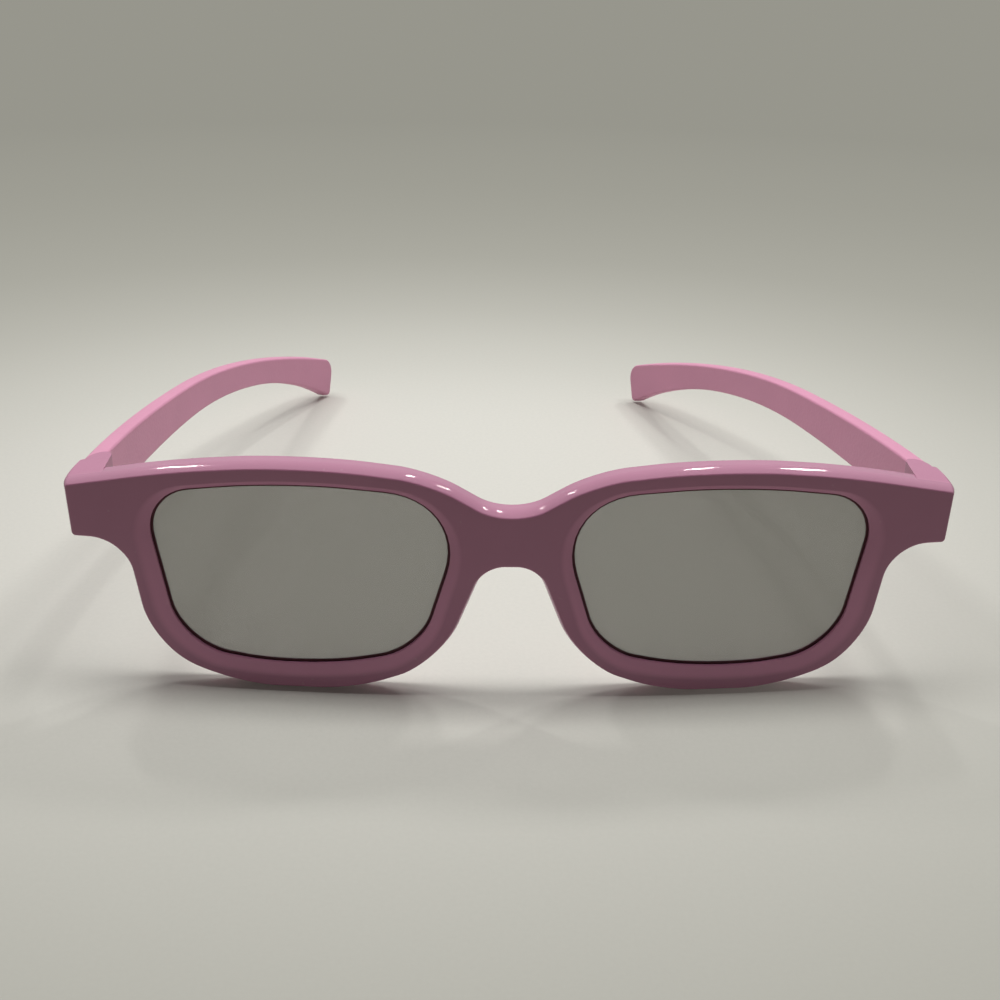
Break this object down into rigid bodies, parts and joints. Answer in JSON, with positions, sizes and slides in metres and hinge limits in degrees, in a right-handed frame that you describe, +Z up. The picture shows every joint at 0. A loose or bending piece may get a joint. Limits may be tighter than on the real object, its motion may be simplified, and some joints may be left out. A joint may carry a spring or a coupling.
{
  "type": "3d glasses",
  "caption": "Passive 3D cinema glasses: a pink moulded front holds layered polarising film lenses under retainer rings, with bowed temples that fold on hinge pins",
  "frame": {"origin": "on the table plane, under the middle of the glasses' bounding box as they lie open on their rims and temple tips", "axes": "+Z up; the front faces -Y and the temples reach back along +Y; +X is the wearer's left and the widest extent"},
  "size_m": [0.1488, 0.1462, 0.0426],
  "materials": {
    "front_plastic": "glossy moulded pink",
    "retainer_plastic": "glossy moulded pink",
    "temple_plastic": "satin moulded pink",
    "clear_film": "clear polished sheet",
    "polarising_film": "grey-olive polarising film",
    "pin_steel": "plain drawn wire"
  },
  "bodies": {
    "front": {"front_frame": "front_plastic", "left_lens_retainer": "retainer_plastic", "right_lens_retainer": "retainer_plastic", "left_retarder_film": "clear_film", "right_retarder_film": "clear_film", "left_polarizer_film": "polarising_film", "right_polarizer_film": "polarising_film", "left_backing_sheet": "clear_film", "right_backing_sheet": "clear_film", "left_hinge_pin": "pin_steel", "right_hinge_pin": "pin_steel"},
    "left_arm": {"left_temple": "temple_plastic"},
    "right_arm": {"right_temple": "temple_plastic"}
  },
  "joints": [
    {"name": "left_temple_hinge", "type": "hinge", "parent": "front", "child": "left_arm", "pos_m": [0.07, -0.05912, 0.0327], "axis": [0, 0, 1], "range_deg": [-4, 75]},
    {"name": "right_temple_hinge", "type": "hinge", "parent": "front", "child": "right_arm", "pos_m": [-0.07, -0.05912, 0.0327], "axis": [0, 0, -1], "range_deg": [0, 73.5]}
  ]
}
